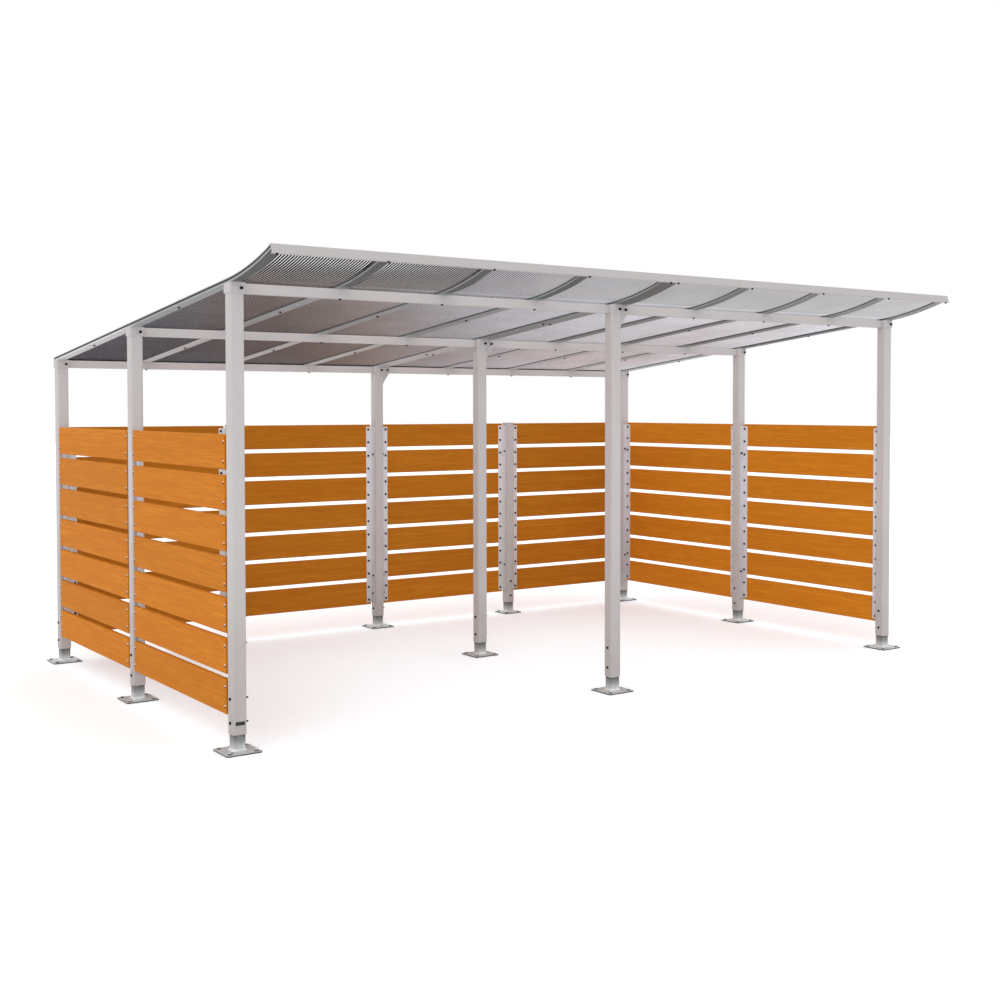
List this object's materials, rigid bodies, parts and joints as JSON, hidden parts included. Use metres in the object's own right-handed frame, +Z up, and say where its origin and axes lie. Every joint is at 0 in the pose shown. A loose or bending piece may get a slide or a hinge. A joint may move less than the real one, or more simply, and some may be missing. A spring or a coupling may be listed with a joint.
{
  "type": "bike shelter",
  "caption": "Open-fronted bike shelter with square steel posts, a curved roof of clear sheets between rafters, and slatted timber walls.",
  "frame": {"origin": "on the ground, in the middle of the bounding box", "axes": "+X to the right, +Y to the back wall, +Z up"},
  "size_m": [5.2, 3.635, 2.54],
  "materials": {
    "frame_paint": "satin warm grey powder coat",
    "bracket_paint": "satin warm grey powder coat",
    "galvanised": "dull hot-dip galvanised",
    "roof_aluminium": "satin",
    "seal_rubber": "matt black",
    "clear_sheet": "clear ribbed plastic",
    "board_wood": "oiled orange-brown"
  },
  "bodies": {
    "root": {"back_panel_1": "board_wood", "back_panel_2": "board_wood", "back_panel_3": "board_wood", "back_panel_4": "board_wood", "back_trim_left": "seal_rubber", "back_trim_right": "seal_rubber", "back_wall_brackets": "bracket_paint", "beam_back_left": "frame_paint", "beam_back_right": "frame_paint", "beam_front_left": "frame_paint", "beam_front_right": "frame_paint", "beam_haunches": "frame_paint", "beam_middle_left": "frame_paint", "beam_middle_right": "frame_paint", "cover_strips_left": "roof_aluminium", "cover_strips_right": "roof_aluminium", "fascia_left": "roof_aluminium", "fascia_right": "roof_aluminium", "feet_back": "galvanised", "feet_front": "galvanised", "feet_middle": "galvanised", "left_panel_back": "board_wood", "left_panel_front": "board_wood", "left_wall_brackets": "bracket_paint", "post_back_centre": "frame_paint", "post_back_left": "frame_paint", "post_back_right": "frame_paint", "post_front_centre": "frame_paint", "post_front_left": "frame_paint", "post_front_right": "frame_paint", "post_middle_centre": "frame_paint", "post_middle_left": "frame_paint", "post_middle_right": "frame_paint", "rafters_left": "roof_aluminium", "rafters_right": "roof_aluminium", "right_panel_back": "board_wood", "right_panel_front": "board_wood", "right_wall_brackets": "bracket_paint", "roof_sheets_left": "clear_sheet", "roof_sheets_right": "clear_sheet", "seals_left": "seal_rubber", "seals_right": "seal_rubber", "short_post_caps": "frame_paint", "short_post_left": "frame_paint", "short_post_right": "frame_paint"}
  },
  "joints": []
}
